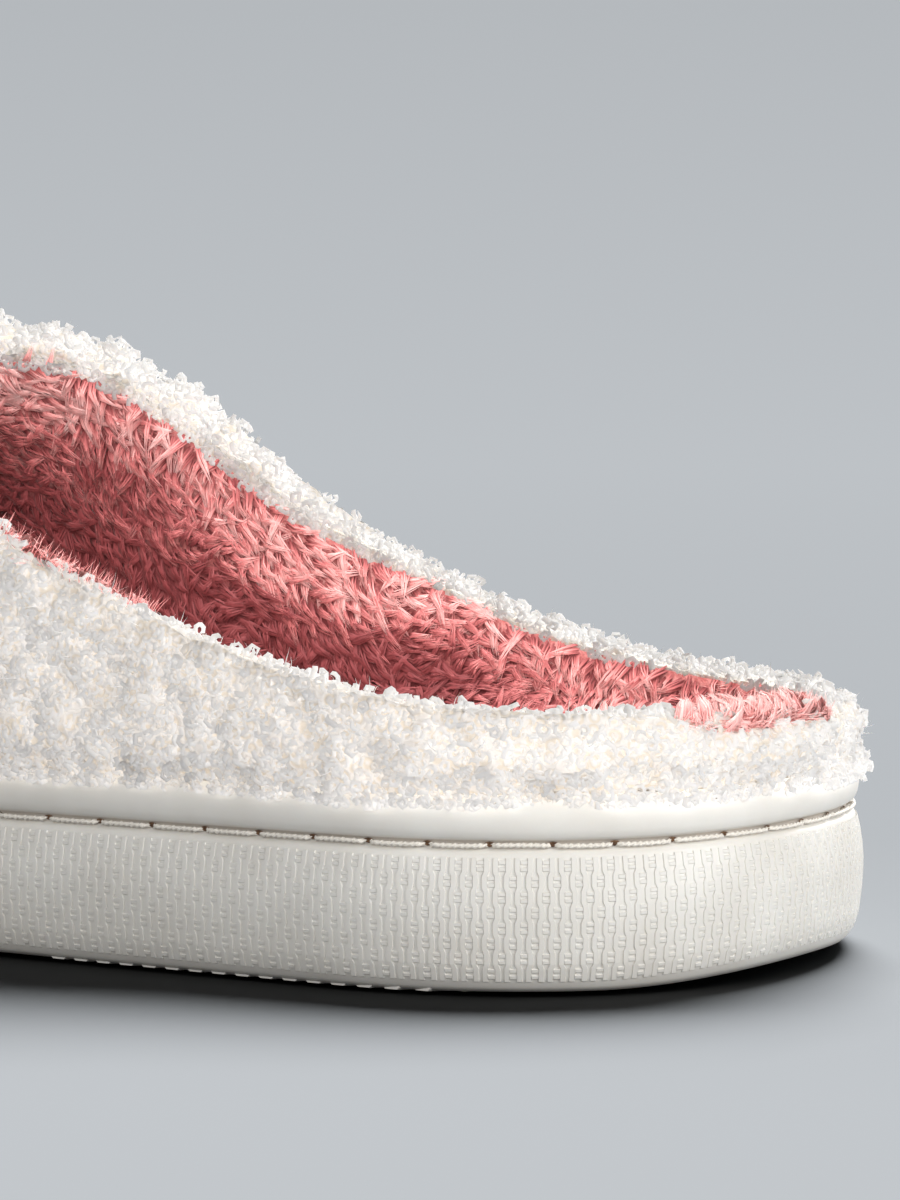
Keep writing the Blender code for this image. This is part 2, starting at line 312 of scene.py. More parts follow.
def plug(tree, node, inputs):
    """Sets a node's inputs, each to a value or to another node's output."""
    for key, value in inputs.items():
        if isinstance(value, bpy.types.NodeSocket):
            tree.links.new(value, node.inputs[key])
        else:
            node.inputs[key].default_value = value


def add(tree, kind, inputs=None, stops=(), **settings):
    """Adds one node with its settings and inputs and, for a colour ramp, its (position, hex) stops."""
    node = tree.nodes.new(kind)
    for name, value in settings.items():
        setattr(node, name, value)
    plug(tree, node, inputs or {})
    for _ in stops[2:]:
        node.color_ramp.elements.new(0.5)
    for k, (position, code) in enumerate(stops):
        node.color_ramp.elements[k].position = position
        node.color_ramp.elements[k].color = linear(code)
    return node


def new_material(name):
    """An empty material with its node tree and its Principled shader."""
    material = bpy.data.materials.new(name)
    material.use_nodes = True
    return material, material.node_tree, material.node_tree.nodes["Principled BSDF"]


def per_mm(size):
    """Scale of a pattern whose marks are a size in millimetres."""
    return 1 / (size * MM)


RUBBER_CLOUD = 9.0
RUBBER_GRAIN = 0.35  # the mould's own grain is finer, and is drawn this coarse to show


def moulded_rubber():
    """Off-white thermoplastic rubber, injection moulded: satin, a little see-through, faintly clouded."""
    material, tree, shader = new_material("moulded_rubber")
    place = add(tree, "ShaderNodeTexCoord").outputs["Object"]
    cloud = add(tree, "ShaderNodeTexNoise", {"Vector": place, "Scale": per_mm(RUBBER_CLOUD), "Detail": 3.0})
    cloud = {"Fac": cloud.outputs["Fac"]}
    pale = add(tree, "ShaderNodeValToRGB", cloud, stops=((0.3, "E8E5DF"), (0.7, "F1EFEA")))
    # brown for the groove's bottom: partly dust, partly painted shade
    brown = add(tree, "ShaderNodeValToRGB", cloud, stops=((0.3, "77583F"), (0.7, "9A7A5C")))
    dust = add(tree, "ShaderNodeAttribute", attribute_name="dust")
    mixed = {"Factor": dust.outputs["Fac"], "A": pale.outputs["Color"], "B": brown.outputs["Color"]}
    colour = add(tree, "ShaderNodeMix", mixed, data_type="RGBA")
    grain = add(tree, "ShaderNodeTexNoise", {"Vector": place, "Scale": per_mm(RUBBER_GRAIN), "Detail": 2.0})
    relief = {"Height": grain.outputs["Fac"], "Strength": 0.12, "Distance": 0.05 * MM}
    look = {
        "Base Color": colour.outputs["Result"],
        "Normal": add(tree, "ShaderNodeBump", relief).outputs["Normal"],
        "Roughness": 0.46,
        "IOR": 1.5,
        "Subsurface Weight": 0.15,
        "Subsurface Radius": (1.0, 0.8, 0.6),
        "Subsurface Scale": 1.2 * MM,
    }
    plug(tree, shader, look)
    return material


FLEECE_FIBRE = 0.12  # the yarn's fibres are about 0.02 thick, and are drawn this coarse to show


def looped_fleece():
    """White polyester boucle: thin curled yarns, bright at their crowns, with warm cream painted shade at
    their feet and in the tufts' hollows.
    """
    material, tree, shader = new_material("looped_fleece")
    place = add(tree, "ShaderNodeTexCoord").outputs["Object"]
    depth = {"Fac": add(tree, "ShaderNodeAttribute", attribute_name="depth").outputs["Fac"]}
    stops = ((0.0, "ECE3D7"), (0.3, "F2EEE9"), (0.6, "F5F3F0"))
    colour = add(tree, "ShaderNodeValToRGB", depth, stops=stops)
    fibre = add(tree, "ShaderNodeTexNoise", {"Vector": place, "Scale": per_mm(FLEECE_FIBRE), "Detail": 2.0})
    relief = {"Height": fibre.outputs["Fac"], "Strength": 0.3, "Distance": 0.08 * MM}
    look = {
        "Base Color": colour.outputs["Color"],
        "Normal": add(tree, "ShaderNodeBump", relief).outputs["Normal"],
        "Roughness": 0.8,
        "IOR": 1.5,
        "Sheen Weight": 0.35,
        "Sheen Roughness": 0.5,
        "Subsurface Weight": 0.4,
        "Subsurface Radius": (1.0, 0.85, 0.7),
        "Subsurface Scale": 1.0 * MM,
    }
    plug(tree, shader, look)
    return material


PRESSED_CURL, PRESSED_TURNS = 1.5, 11.0  # width of a matted curl, and how closely its yarn is wound


def matted_fleece():
    """The fleece's matted lower curls: rings of yarn pressed together, with cream painted shade in the hollows
    between them.
    """
    material, tree, shader = new_material("matted_fleece")
    place = add(tree, "ShaderNodeTexCoord").outputs["Object"]
    cells = {"Vector": place, "Scale": per_mm(PRESSED_CURL), "Randomness": 1.0}
    cells = add(tree, "ShaderNodeTexVoronoi", cells).outputs["Distance"]
    rings = add(tree, "ShaderNodeMath", {0: cells, 1: PRESSED_TURNS}, operation="MULTIPLY").outputs["Value"]
    wave = add(tree, "ShaderNodeMath", {0: rings}, operation="SINE").outputs["Value"]
    height = {"Value": wave, "From Min": -1.0, "From Max": 1.0}
    height = add(tree, "ShaderNodeMapRange", height).outputs["Result"]
    relief = {"Height": height, "Strength": 0.5, "Distance": 0.3 * MM}
    colour = add(tree, "ShaderNodeValToRGB", {"Fac": height}, stops=((0.05, "EBE1D2"), (0.5, "F2EEE9")))
    look = {
        "Base Color": colour.outputs["Color"],
        "Normal": add(tree, "ShaderNodeBump", relief).outputs["Normal"],
        "Roughness": 0.85,
        "Sheen Weight": 0.3,
    }
    plug(tree, shader, look)
    return material


KNIT_LOOP = 1.2


def knitted_backing():
    """Pink knitted ground of the plush: matt and mottled, darker deep inside by painted shade, seen between
    the locks.
    """
    material, tree, shader = new_material("knitted_backing")
    place = add(tree, "ShaderNodeTexCoord").outputs["Object"]
    tone = add(tree, "ShaderNodeAttribute", attribute_name="tone").outputs["Fac"]
    knit = {"Vector": place, "Scale": per_mm(KNIT_LOOP), "Detail": 3.0}
    knit = add(tree, "ShaderNodeTexNoise", knit).outputs["Fac"]
    mixed = {"Fac": add(tree, "ShaderNodeMath", {0: knit, 1: tone}, operation="ADD").outputs["Value"]}
    stops = ((0.0, "7C3638"), (0.4, "AC625F"), (0.65, "CC8C88"))
    colour = add(tree, "ShaderNodeValToRGB", mixed, stops=stops)
    relief = {"Height": knit, "Strength": 0.9, "Distance": 0.5 * MM}
    look = {
        "Base Color": colour.outputs["Color"],
        "Normal": add(tree, "ShaderNodeBump", relief).outputs["Normal"],
        "Roughness": 0.95,
    }
    plug(tree, shader, look)
    return material


TIP_TONE = 0.8  # of the ramp that a fibre runs through from root to tip; the dark root end is painted shade


def plush_pile():
    """Pink polyester plush in tumbled locks: salmon at the tips, with wine red painted shade at the roots, and
    a soft sheen.
    """
    material, tree, shader = new_material("plush_pile")
    depth = add(tree, "ShaderNodeAttribute", attribute_name="depth").outputs["Fac"]
    # tone carries random tones, the painted shade deep inside and the painted light and shade of the throat's
    # roll
    tone = add(tree, "ShaderNodeAttribute", attribute_name="tone").outputs["Fac"]
    mixed = add(tree, "ShaderNodeMath", {0: depth, 1: TIP_TONE, 2: tone}, operation="MULTIPLY_ADD")
    stops = ((0.0, "7C3234"), (0.3, "BF6A69"), (0.6, "E2A39F"), (1.0, "F4D3CF"))
    colour = add(tree, "ShaderNodeValToRGB", {"Fac": mixed.outputs["Value"]}, stops=stops)
    look = {
        "Base Color": colour.outputs["Color"],
        "Roughness": 0.7,
        "IOR": 1.5,
        "Sheen Weight": 0.3,
        "Sheen Roughness": 0.4,
        "Sheen Tint": linear("FFE3DE"),
    }
    plug(tree, shader, look)
    return material


THREAD_FIBRE = 0.15  # the thread's fibres are about 0.02 thick, and are drawn this coarse to show


def twisted_thread():
    """Waxed polyester thread, two plies twisted: cream with a slight shine."""
    material, tree, shader = new_material("twisted_thread")
    place = add(tree, "ShaderNodeTexCoord").outputs["Object"]
    fibre = add(tree, "ShaderNodeTexNoise", {"Vector": place, "Scale": per_mm(THREAD_FIBRE), "Detail": 2.0})
    fibre = {"Fac": fibre.outputs["Fac"]}
    colour = add(tree, "ShaderNodeValToRGB", fibre, stops=((0.3, "EDE6DA"), (0.7, "FAF7F1")))
    plug(tree, shader, {"Base Color": colour.outputs["Color"], "Roughness": 0.5})
    return material


HOLE_TEAR = 0.4


def pierced_rubber():
    """Inside of a needle's hole in rubber: torn, matt and brown with shade."""
    material, tree, shader = new_material("pierced_rubber")
    place = add(tree, "ShaderNodeTexCoord").outputs["Object"]
    torn = add(tree, "ShaderNodeTexNoise", {"Vector": place, "Scale": per_mm(HOLE_TEAR)})
    torn = {"Fac": torn.outputs["Fac"]}
    colour = add(tree, "ShaderNodeValToRGB", torn, stops=((0.3, "4A3527"), (0.7, "7A5C44")))
    plug(tree, shader, {"Base Color": colour.outputs["Color"], "Roughness": 0.9})
    return material


RUBBER = moulded_rubber()
FLEECE = looped_fleece()
FLEECE_GROUND = matted_fleece()
PLUSH = plush_pile()
PLUSH_GROUND = knitted_backing()
THREAD = twisted_thread()
PIERCED = pierced_rubber()


# Cup sole

SOLE_COLUMNS = 480
SEAM_DUST_AND_SHADE = 0.4  # how far the bottom of the sewn groove is browned: partly dust, partly painted shade in the groove
GROOVE_INSET = 1.5  # the groove's bottom lies deeper than this
GROOVE_FOOT, GROOVE_HEAD = 16.4, 17.5  # and between these heights


def make_sole_body():
    """The moulded body of the sole: rounded side, cup and flat underside."""
    points, faces = closed_body(SOLE_SIDE, SOLE_COLUMNS)
    sewn = [row.inset > GROOVE_INSET and GROOVE_FOOT < row.height < GROOVE_HEAD for row in SOLE_SIDE]
    # the groove's bottom is browned with dust and painted shade
    dust = np.repeat(np.where(sewn, SEAM_DUST_AND_SHADE, 0.0), SOLE_COLUMNS)
    body = piece("sole_body", points, faces, RUBBER, dust=dust)
    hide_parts("cupsole")


RIB_PITCH = 3.2  # two ribs for each one of the solid's
RIB_BEFORE, RIB_AFTER = 0.8, 2.4  # how far the ribs' middles start before a zone and may run on past it
RIB_WAVE, RIB_WAVE_LENGTH = 1.5, 22.0
RIB_EDGE, RIB_EDGE_HEEL = 2.1, 4.6  # from the outline to a rib's end, and at the heel's back
RIB_HEEL, RIB_HEEL_LENGTH = 32.0, 8.0  # where the heel's back ends, and over how much the ribs' ends draw in
RIB_RISE, RIB_RISE_LENGTH = 0.5, 7.0  # how the ribs' ends lift off the floor into the wall's foot
RIB_STEPS = 20
RIB_HEIGHT = 1.6
RIB_SECTION = (  # along the slipper, and up
    (-1.15, RIB_HEIGHT),
    (-1.05, 0.35),
    (-0.75, 0.0),
    (0.75, 0.0),
    (1.05, 0.35),
    (1.15, RIB_HEIGHT),
)


def make_tread():
    """Waved ribs across the heel and the forefoot, with rounded edges."""
    rows = [np.arange(low - RIB_BEFORE, high + RIB_AFTER, RIB_PITCH) for low, high in RIB_ZONES]
    stations = np.concatenate(rows)
    edge = RIB_EDGE + (RIB_EDGE_HEEL - RIB_EDGE) * falling(stations, RIB_HEEL, RIB_HEEL_LENGTH)
    left = np.interp(stations, *plan_side(-1, "lateral")[:, ::-1].T) + edge
    right = np.interp(stations, *plan_side(1, "medial")[:, ::-1].T) - edge
    x = left[:, None] + (right - left)[:, None] * np.linspace(0, 1, RIB_STEPS)
    middle = stations[:, None] + RIB_WAVE * np.cos(2 * math.pi * x / RIB_WAVE_LENGTH)
    end = np.minimum(x - left[:, None], right[:, None] - x)
    lift = RIB_RISE * falling(end, RIB_RISE_LENGTH, RIB_RISE_LENGTH) ** 2
    along, up = np.array(RIB_SECTION).T
    points = np.empty((len(stations), RIB_STEPS, len(RIB_SECTION), 3))
    points[..., 0] = x[..., None]
    points[..., 1] = middle[..., None] + along
    foot, squeeze = level(stations, 0.0)[:, None] + lift, 1 - lift / RIB_HEIGHT
    points[..., 2] = foot[..., None] + up * squeeze[..., None]
    ring = np.arange(len(RIB_SECTION))
    faces = tube_faces(len(stations), RIB_STEPS, len(RIB_SECTION)).tolist()
    for k in range(len(stations)):
        first = k * RIB_STEPS * len(RIB_SECTION)
        faces.append((ring[::-1] + first).tolist())
        faces.append((ring + first + (RIB_STEPS - 1) * len(RIB_SECTION)).tolist())
    tread = piece("tread_ribs", points.reshape(-1, 3), faces, RUBBER, shade_flat=True)


WEAVE_ROWS = 8
WEAVE_PERIOD = 2.45  # along the wall, from one slit of a row to the next
WEAVE_RAISE = 0.18
WEAVE_ROOT = -0.05  # the feet of the relief's bars, just inside the wall
WEAVE_BEVEL = 0.09
BAR_CORNERS = 4  # of a bar's section; its side in the wall is left open
WALL_ROWS = 12  # rows of the sole's side from its foot up to the groove
UPRIGHT_WIDTH = 0.74
UPRIGHT_SWAY = 0.1  # how far the uprights bend towards the slits
UPRIGHT_JOG = 0.14  # share of a row, at each of its ends, in which an upright changes sides
RUNG_WIDTH, RUNG_HEIGHT = 0.78, 0.52
RUNG_SINK = 0.02  # of the rungs under the uprights
RUNG_SHIFT = 0.37  # of the two rungs from the row's middle


def wall_inset(heights):
    """Inset of the side wall at heights."""
    wall = SOLE_SIDE[:WALL_ROWS]
    return np.interp(heights, [row.height for row in wall], [row.inset for row in wall])


def bar_section(width, raised):
    """A bar's section from foot to foot over its bevelled top: places across it, and heights off the wall."""
    half = width / 2
    return (
        np.array((-half, WEAVE_BEVEL - half, half - WEAVE_BEVEL, half)),
        np.array((WEAVE_ROOT, raised, raised, WEAVE_ROOT)),
    )


def open_bars(count, steps):
    """Faces of bars without the side in the wall."""
    faces = tube_faces(count, steps, BAR_CORNERS).reshape(-1, BAR_CORNERS, 4)
    return faces[:, : BAR_CORNERS - 1].reshape(-1, 4)


def make_wall_weave():
    """Woven-look relief on the side wall: waving uprights, with slits and pairs of rungs in turn between."""
    columns = 2 * round(AROUND / WEAVE_PERIOD)
    half_period = AROUND / columns
    row_pitch = (WALL_HEAD - WALL_FOOT) / WEAVE_ROWS

    column = np.arange(columns)[:, None]
    jogs = (np.arange(WEAVE_ROWS) + UPRIGHT_JOG, np.arange(1, WEAVE_ROWS + 1) - UPRIGHT_JOG)
    share = np.sort(np.concatenate(jogs))
    share[[0, -1]] = 0.0, WEAVE_ROWS
    row = np.repeat(np.arange(WEAVE_ROWS), 2)
    sway = UPRIGHT_SWAY * np.where((row + column) % 2 == 0, -1, 1)
    middle = (column + 0.5) * half_period + sway
    height = WALL_FOOT + share * row_pitch
    across, raised = bar_section(UPRIGHT_WIDTH, WEAVE_RAISE)
    strips = on_sole(middle[..., None] - across, wall_inset(height)[:, None] - raised, height[:, None])

    row, gap = np.meshgrid(np.arange(WEAVE_ROWS), np.arange(columns), indexing="ij")
    window = (row + gap) % 2 == 1
    row, gap = row[window], gap[window]
    up, raised = bar_section(RUNG_HEIGHT, WEAVE_RAISE - RUNG_SINK)
    ends = (gap * half_period)[:, None, None] + np.array((-1, 1))[:, None] * RUNG_WIDTH / 2
    pads = []
    for side in (-1, 1):
        low = WALL_FOOT + (row + 0.5) * row_pitch + side * RUNG_SHIFT
        high = low[:, None, None] + up
        pads.append(on_sole(ends, wall_inset(high) - raised, high))
    pads = np.concatenate(pads)

    points = np.concatenate((strips.reshape(-1, 3), pads.reshape(-1, 3)))
    faces = np.concatenate((open_bars(columns, len(share)), open_bars(len(pads), 2) + strips.size // 3))
    weave = piece("wall_weave", points, faces, RUBBER, shade_flat=True)


STITCH_PITCH = 7.3
STITCH_START = 2.0
STITCH_GAP = 0.12  # from a hole's middle to where the thread goes in
STITCH_SAG = 0.08
DIVE_SHARE, DIVE_DEPTH = 1 / 9, 0.9  # share of a stitch over which its end dives, and how deep
PLY_RADIUS = 0.19
PLY_OFFSET = 0.15
PLY_TWIST = 1.5  # length of a full twist
PLY_STEPS, PLY_SIDES = 16, 4
THREAD_INSET, THREAD_HEIGHT = 1.05, 17.0
HoleRow = namedtuple("HoleRow", "size inset")
HOLE = (HoleRow(1.25, 1.62), HoleRow(0.75, 1.5), HoleRow(0.02, 1.75))  # its rings, from its edge to its bottom
HOLE_RADIUS, HOLE_STRETCH, HOLE_RISE = 0.24, 2.2, 0.1
HOLE_SIDES = 8


def make_groove_seam():
    """The seam in the groove: long stitches of two twisted plies, and the holes that they dive into."""
    count = round(AROUND / STITCH_PITCH)
    pitch = AROUND / count
    starts = STITCH_START + np.arange(count)[:, None] * pitch
    share = np.linspace(0, 1, PLY_STEPS)
    arc = starts + STITCH_GAP + share * (pitch - 2 * STITCH_GAP)
    dive = falling(np.minimum(share, 1 - share), DIVE_SHARE, DIVE_SHARE) ** 2
    sag = rng.uniform(-STITCH_SAG, STITCH_SAG, (count, 1)) * np.sin(math.pi * share)
    twist = 2 * math.pi * share * pitch / PLY_TWIST + rng.uniform(0, 2 * math.pi, (count, 1))
    around = np.linspace(0, 2 * math.pi, PLY_SIDES, endpoint=False)
    tubes = []
    for ply in (0, math.pi):
        inset = THREAD_INSET + dive * DIVE_DEPTH + PLY_OFFSET * np.cos(twist + ply)
        height = THREAD_HEIGHT + sag + PLY_OFFSET * np.sin(twist + ply)
        tubes.append(
            on_sole(
                arc[..., None],
                inset[..., None] + PLY_RADIUS * np.cos(around),
                height[..., None] - PLY_RADIUS * np.sin(around),
            )
        )
    points = np.concatenate(tubes)
    seam = piece("groove_thread", points.reshape(-1, 3), tube_faces(2 * count, PLY_STEPS, PLY_SIDES), THREAD)

    around = np.linspace(0, 2 * math.pi, HOLE_SIDES, endpoint=False)
    rings = []
    for size, inset in HOLE:
        at = starts + HOLE_STRETCH * size * HOLE_RADIUS * np.cos(around)
        rings.append(on_sole(at, inset, THREAD_HEIGHT + HOLE_RISE + size * HOLE_RADIUS * np.sin(around)))
    points = np.stack(rings, 1).reshape(-1, 3)
    holes = piece("needle_holes", points, tube_faces(count, len(HOLE), HOLE_SIDES), PIERCED)


# Upper

def node_surface(name):
    """Corners of a solid's triangles in drawn millimetres, their smoothed normals and flat face normals."""
    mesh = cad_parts[name].data
    mesh.calc_loop_triangles()
    points = np.empty(len(mesh.vertices) * 3, np.float32)
    mesh.vertices.foreach_get("co", points)
    triangles = np.empty(len(mesh.loop_triangles) * 3, np.int32)
    mesh.loop_triangles.foreach_get("vertices", triangles)
    points = points.reshape(-1, 3) / MM + MIDDLE
    _, first, weld = np.unique(np.round(points, 2), axis=0, return_index=True, return_inverse=True)
    points, triangles = points[first], weld.reshape(-1)[triangles].reshape(-1, 3)
    corners = points[triangles]
    doubled = np.cross(corners[:, 1] - corners[:, 0], corners[:, 2] - corners[:, 0])
    normals = np.zeros_like(points)
    for k in range(3):
        np.add.at(normals, triangles[:, k], doubled)
    return corners, unit(normals)[triangles], unit(doubled)


AXIS_BACK, AXIS_FRONT, AXIS_HEIGHT = 42.0, 212.0, 34.0  # a line inside the foot's space


def outwardness(points, normals):
    """1 where a surface faces away from the middle of the foot's space, -1 where it faces in."""
    middle = np.stack(
        (
            np.zeros(len(points)),
            np.clip(points[:, 1], AXIS_BACK, AXIS_FRONT),
            np.full(len(points), AXIS_HEIGHT),
        ),
        1,
    )
    return (unit(points - middle) * normals).sum(1)


SCATTER_TRIES = 5  # for each place that may be filled


def scatter(corners, normals, spacing):
    """Points spread over triangles at least a spacing apart, with their normals."""
    doubled = np.cross(corners[:, 1] - corners[:, 0], corners[:, 2] - corners[:, 0])
    area = np.linalg.norm(doubled, axis=1) / 2
    tries = int(SCATTER_TRIES * area.sum() / spacing**2)
    chosen = rng.choice(len(corners), tries, p=area / area.sum())
    r, s = np.sqrt(rng.random(tries)), rng.random(tries)
    weights = np.stack((1 - r, r * (1 - s), r * s), 1)[..., None]
    points = (corners[chosen] * weights).sum(1)
    cells, kept = {}, []
    places = np.floor(points / spacing).astype(int).tolist()
    for k, (cell, point) in enumerate(zip(places, points.tolist())):
        near = (
            other
            for dx in (-1, 0, 1)
            for dy in (-1, 0, 1)
            for dz in (-1, 0, 1)
            for other in cells.get((cell[0] + dx, cell[1] + dy, cell[2] + dz), ())
        )
        if all(math.dist(point, other) >= spacing for other in near):
            cells.setdefault(tuple(cell), []).append(point)
            kept.append(k)
    return points[kept], unit((normals[chosen] * weights).sum(1))[kept]


CLOUD_GAIN = 1.6  # brings the noise to about -1 to 1


def clouds(points, scale, seed):
    """Smooth random numbers about -1 to 1 over the points."""
    shift = Vector((seed, seed, 0.0))
    return np.array([noise.noise(Vector(point) / scale + shift) for point in points.tolist()]) * CLOUD_GAIN


def below_collar(points):
    """How far points of the upper lie below its rim, or in from the throat."""
    lateral, medial = (smooth(COLLAR, column, points[:, 1]) for column in ("lateral", "medial"))
    rim = np.where(points[:, 0] < 0, lateral, medial)
    return np.maximum(rim - points[:, 2], 0.0) + np.maximum(points[:, 1] - THROAT, 0.0)


def split(corners):
    """Triangles cut in four at the middles of their sides."""
    a, b, c = corners[:, 0], corners[:, 1], corners[:, 2]
    ab, bc, ca = (a + b) / 2, (b + c) / 2, (c + a) / 2
    quarters = ((a, ab, ca), (ab, b, bc), (ca, bc, c), (ab, bc, ca))
    return np.concatenate([np.stack(quarter, 1) for quarter in quarters])


TUFT_SIZE = 4.2
TUFT_MEAN, TUFT_SWING = 1.15, 0.95  # rise and fall of the backing under the tufts that the fleece gathers in
LUMP_SIZE, LUMP_SWING = 1.6, 0.35
TUFT_STEP, TUFT_RELIEF = 0.5, 0.7  # over which the tufts' slope is read, and how far it shades the curls
FLEECE_FOOT, FLEECE_FULL = -0.7, 0.9  # over the lip: where the fleece leaves the cup, and how soon it is full
FLEECE_EDGE = 1.6  # over which the fleece thins out where it meets the plush
FLEECE_TURN, FLEECE_TURN_SPAN = -0.1, 0.5  # outwardness from which, and over which, the fleece rises
CROSS_WAY = (0.2, 1.0, 0.3)  # crossed with a normal, this gives a direction in the cloth


def above_lip(points):
    """Height of points over the top of the sole's lip."""
    return points[:, 2] - level(points[:, 1], SOLE_HEIGHT)


def lumps(points):
    """Rise and fall of the tufts over and under their mean."""
    return TUFT_SWING * clouds(points, TUFT_SIZE, seed=2.0) + LUMP_SWING * clouds(points, LUMP_SIZE, seed=7.0)


def tufted(points, normals):
    """Normals of the cloth with its tufts."""
    side = unit(np.cross(normals, CROSS_WAY))
    here, slope = lumps(points), np.zeros_like(points)
    for along in (side, np.cross(normals, side)):
        slope += along * ((lumps(points + along * TUFT_STEP) - here) / TUFT_STEP)[:, None]
    return unit(normals - TUFT_RELIEF * slope)


def tuft_height(points, normals):
    """Height of the fleece's backing over the solid: none in the cup or where the surface turns inwards."""
    above = rising(above_lip(points), FLEECE_FOOT, FLEECE_FULL)
    turned = falling(past_turn(points, normals), 0.0, FLEECE_EDGE)
    turned = turned * rising(outwardness(points, normals), FLEECE_TURN, FLEECE_TURN_SPAN)
    return np.maximum(TUFT_MEAN + lumps(points), 0.0) * above * turned


CURL_SPACING, CURL_SPACING_FRONT, CURL_SPACING_HEEL, CURL_SPACING_HEM = 1.25, 1.4, 0.85, 0.65
RIM_STATIONS, RIM_DEPTH = (14.0, 132.0), 4.5  # the inner side's rim, curled as densely as the hem
CURL_HEEL = 125.0  # up to this station the open back, seen closest, is curled more densely than the front
CURL_RADIUS = (0.42, 0.85)
CURL_TURNS = (0.85, 1.35)
CURL_WIDE, CURL_TIGHTEN = 1.1, 0.35  # of the radius: at a curl's start, and what it loses on the way
CURL_LEAD = (0.3, 0.9)  # from a curl's start to its end, along its axis
LYING_RISE, STANDING_RISE = (-0.1, 0.3), (0.15, 0.75)  # of a curl's middle above the backing
LYING, STANDING = 1.9, 0.6  # how far the curls lie down; 0 leaves them turned every way
STANDING_SHARE, STANDING_SHARE_RIM = 0.25, 0.7
CURL_STEPS, CURL_STEPS_FRONT, CURL_SIDES = 7, 6, 3
YARN_RADIUS, YARN_SPREAD = 0.33, (0.8, 1.25)
YARN_TAPER, YARN_TAPER_POWER = 0.95, 5  # how far, and how suddenly, a yarn thins at its ends
CURL_SOFTNESS = 0.7  # share of the cloth's own normal in the shading of a curl
HEM_HEIGHT, HEM_OUT, HEM_DROP = 3.0, 2.7, 0.7  # how the lowest curls bulge and hang over the sole's lip
HEM_SHRINK = 0.3  # share by which they are smaller
HEM_LIGHT = 0.7  # how far their shading is turned up to the light
CURL_SHADE, CURL_CREAM = 1.0, 0.2  # height from a curl's foot, painted cream as shade, to its white crown, and how low that painted shade starts
HOLLOW_SHADE = 0.3  # how far the height of the tuft counts in this, painting the tufts' hollows with cream shade


def curls(name, points, normals, steps, stand):
    """Small curled yarns on the backing, each a loop of a turn or so; a share of them stand up."""
    count = len(points)
    hem = falling(above_lip(points), HEM_HEIGHT, HEM_HEIGHT)[:, None]
    standing = rng.random((count, 1)) < stand * (1 - hem)
    axis = unit(unit(rng.normal(size=(count, 3))) + np.where(standing, STANDING, LYING) * normals)
    side = unit(np.cross(axis, normals))
    up = np.cross(side, axis)
    radius = rng.uniform(*CURL_RADIUS, (count, 1)) * (1 - HEM_SHRINK * hem)
    turns = rng.uniform(*CURL_TURNS, (count, 1))
    share = np.linspace(0, 1, steps)
    angle = rng.uniform(0, 2 * math.pi, (count, 1)) + 2 * math.pi * turns * share
    tighten = (CURL_WIDE - CURL_TIGHTEN * share) * radius
    stood = rng.uniform(*STANDING_RISE, (count, 1)) * (1 + stand)
    rise = np.where(standing, stood, rng.uniform(*LYING_RISE, (count, 1)))
    raised = tuft_height(points, normals)[:, None]
    middle = points + normals * (raised + rise) + unit(normals * (1.0, 1.0, 0.0)) * hem * HEM_OUT
    middle[:, 2:] -= hem * HEM_DROP
    path = (
        middle[:, None]
        + side[:, None] * (tighten * np.cos(angle))[..., None]
        + up[:, None] * (tighten * np.sin(angle))[..., None]
        + axis[:, None] * ((share - 0.5) * rng.uniform(*CURL_LEAD, (count, 1)))[..., None]
    )
    along = unit(np.gradient(path, axis=1))
    across = unit(np.cross(along, axis[:, None]))
    over = np.cross(along, across)
    taper = 1 - YARN_TAPER * np.abs(2 * share - 1) ** YARN_TAPER_POWER
    thick = YARN_RADIUS * rng.uniform(*YARN_SPREAD, (count, 1)) * taper
    around = np.linspace(0, 2 * math.pi, CURL_SIDES, endpoint=False)
    ring = across[:, :, None] * np.cos(around)[:, None] + over[:, :, None] * np.sin(around)[:, None]
    tube = path[:, :, None] + ring * thick[..., None, None]
    depth = ((tube - middle[:, None, None]) * normals[:, None, None]).sum(-1)
    depth = (depth + (rise + HOLLOW_SHADE * (raised - TUFT_MEAN))[:, :, None] + CURL_CREAM) / CURL_SHADE
    cloth = unit(tufted(points, normals) + hem * np.array((0.0, 0.0, HEM_LIGHT)))
    shading = unit(ring * (1 - CURL_SOFTNESS) + cloth[:, None, None] * CURL_SOFTNESS)
    made = piece(
        name,
        tube.reshape(-1, 3),
        tube_faces(count, steps, CURL_SIDES),
        FLEECE,
        normals=shading.reshape(-1, 3),
        depth=np.clip(depth, 0, 1).ravel(),
    )


# A fibre is a ribbon of five points: two at its root, two at its middle and its tip
RIBBON_ROWS = np.array((0, 0, 1, 1, 2))
RIBBON_FACES = (0, 1, 3, 2), (2, 3, 4)


def ribbon_faces(count):
    """Faces of ribbons whose points are numbered ribbon by ribbon."""
    first = np.arange(count)[:, None] * len(RIBBON_ROWS)
    return [face for corners in RIBBON_FACES for face in (first + corners).tolist()]


